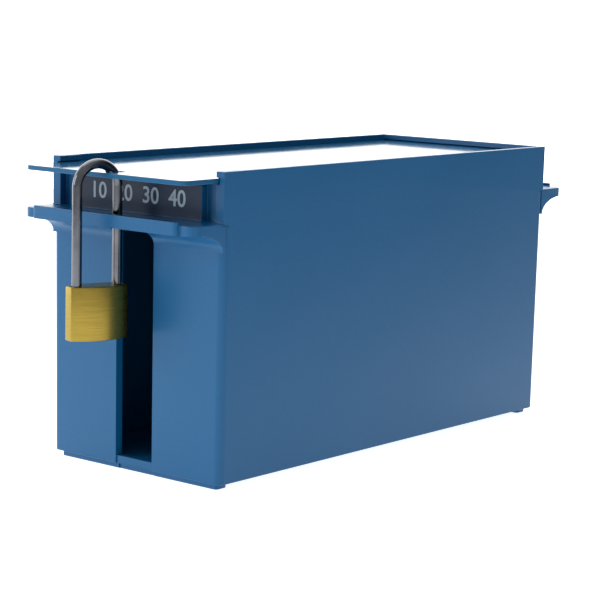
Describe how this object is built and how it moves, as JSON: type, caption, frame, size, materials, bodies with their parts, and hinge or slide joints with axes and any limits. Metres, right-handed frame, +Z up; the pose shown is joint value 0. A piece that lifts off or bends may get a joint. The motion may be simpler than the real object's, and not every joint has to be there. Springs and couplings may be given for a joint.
{
  "type": "lockable coin-roll storage box",
  "caption": "Long upright plastic tray with end ledges, a sliding lid held by rails, a tall front slot and a small long-shackle padlock through lid and front ledge.",
  "frame": {"origin": "centre of the whole object's footprint box, on the surface that its feet stand on", "axes": "+Z up, +Y from the slotted and locked front end to the rear end, +X to the right of someone facing the rear from the front"},
  "size_m": [0.095, 0.276, 0.1291],
  "materials": {
    "tray_plastic": "moulded blue polypropylene, satin to glossy",
    "lid_plastic": "glossy blue plastic sheet",
    "lock_brass": "brass, brushed across the width",
    "cylinder_brass": "turned brass",
    "shackle_steel": "polished plated steel",
    "lock_steel": "plain steel",
    "spring_wire": "drawn wire"
  },
  "bodies": {
    "tray": {"tray_body": "tray_plastic"},
    "lid": {"lid": "lid_plastic"},
    "padlock": {"padlock_body": "lock_brass", "shackle": "shackle_steel", "cylinder_plug": "cylinder_brass", "cam": "lock_steel", "latch_spring": "spring_wire", "shackle_spring": "spring_wire", "heel_retaining_pin": "lock_steel", "pin_spring_1": "spring_wire", "pin_spring_2": "spring_wire", "pin_spring_3": "spring_wire", "pin_spring_4": "spring_wire", "chamber_plug_1": "lock_brass", "chamber_plug_2": "lock_brass", "chamber_plug_3": "lock_brass", "chamber_plug_4": "lock_brass"},
    "latch_bolt_toe": {"latch_bolt_toe": "lock_steel"},
    "latch_bolt_heel": {"latch_bolt_heel": "lock_steel"},
    "key_pin_1": {"key_pin_1": "cylinder_brass"},
    "driver_pin_1": {"driver_pin_1": "lock_steel"},
    "key_pin_2": {"key_pin_2": "cylinder_brass"},
    "driver_pin_2": {"driver_pin_2": "lock_steel"},
    "key_pin_3": {"key_pin_3": "cylinder_brass"},
    "driver_pin_3": {"driver_pin_3": "lock_steel"},
    "key_pin_4": {"key_pin_4": "cylinder_brass"},
    "driver_pin_4": {"driver_pin_4": "lock_steel"}
  },
  "joints": [
    {"name": "lid_slide", "type": "slide", "parent": "tray", "child": "lid", "axis": [0, -1, 0], "range_m": [-0.0002, 0.0012]},
    {"name": "padlock_swivel", "type": "hinge", "parent": "tray", "child": "padlock", "pos_m": [0.00034, -0.11649, 0.079], "axis": [0, 0, 1], "range_deg": [-30, 42]},
    {"name": "latch_bolt_toe_slide", "type": "slide", "parent": "padlock", "child": "latch_bolt_toe", "axis": [-0.2689, -0.9632, 0], "range_m": [0, 0.0014], "stiffness_N_per_m": 150, "springref_m": -0.002, "deforming": ["latch_spring"]},
    {"name": "latch_bolt_heel_slide", "type": "slide", "parent": "padlock", "child": "latch_bolt_heel", "axis": [0.2689, 0.9632, 0], "range_m": [0, 0.0014], "stiffness_N_per_m": 150, "springref_m": -0.002},
    {"name": "driver_pin_1_slide", "type": "slide", "parent": "padlock", "child": "driver_pin_1", "axis": [0.2689, 0.9632, 0], "range_m": [0, 0.001], "stiffness_N_per_m": 60, "springref_m": -0.002, "deforming": ["pin_spring_1"]},
    {"name": "key_pin_1_slide", "type": "slide", "parent": "padlock", "child": "key_pin_1", "axis": [0.2689, 0.9632, 0], "range_m": [0, 0.001]},
    {"name": "driver_pin_2_slide", "type": "slide", "parent": "padlock", "child": "driver_pin_2", "axis": [0.2689, 0.9632, 0], "range_m": [0, 0.001], "stiffness_N_per_m": 60, "springref_m": -0.002, "deforming": ["pin_spring_2"]},
    {"name": "key_pin_2_slide", "type": "slide", "parent": "padlock", "child": "key_pin_2", "axis": [0.2689, 0.9632, 0], "range_m": [0, 0.001]},
    {"name": "driver_pin_3_slide", "type": "slide", "parent": "padlock", "child": "driver_pin_3", "axis": [0.2689, 0.9632, 0], "range_m": [0, 0.001], "stiffness_N_per_m": 60, "springref_m": -0.002, "deforming": ["pin_spring_3"]},
    {"name": "key_pin_3_slide", "type": "slide", "parent": "padlock", "child": "key_pin_3", "axis": [0.2689, 0.9632, 0], "range_m": [0, 0.001]},
    {"name": "driver_pin_4_slide", "type": "slide", "parent": "padlock", "child": "driver_pin_4", "axis": [0.2689, 0.9632, 0], "range_m": [0, 0.001], "stiffness_N_per_m": 60, "springref_m": -0.002, "deforming": ["pin_spring_4"]},
    {"name": "key_pin_4_slide", "type": "slide", "parent": "padlock", "child": "key_pin_4", "axis": [0.2689, 0.9632, 0], "range_m": [0, 0.001]}
  ],
  "couplings": [
    {"joint": "key_pin_1_slide", "follows": "driver_pin_1_slide", "ratio": 1},
    {"joint": "key_pin_2_slide", "follows": "driver_pin_2_slide", "ratio": 1},
    {"joint": "key_pin_3_slide", "follows": "driver_pin_3_slide", "ratio": 1},
    {"joint": "key_pin_4_slide", "follows": "driver_pin_4_slide", "ratio": 1}
  ]
}
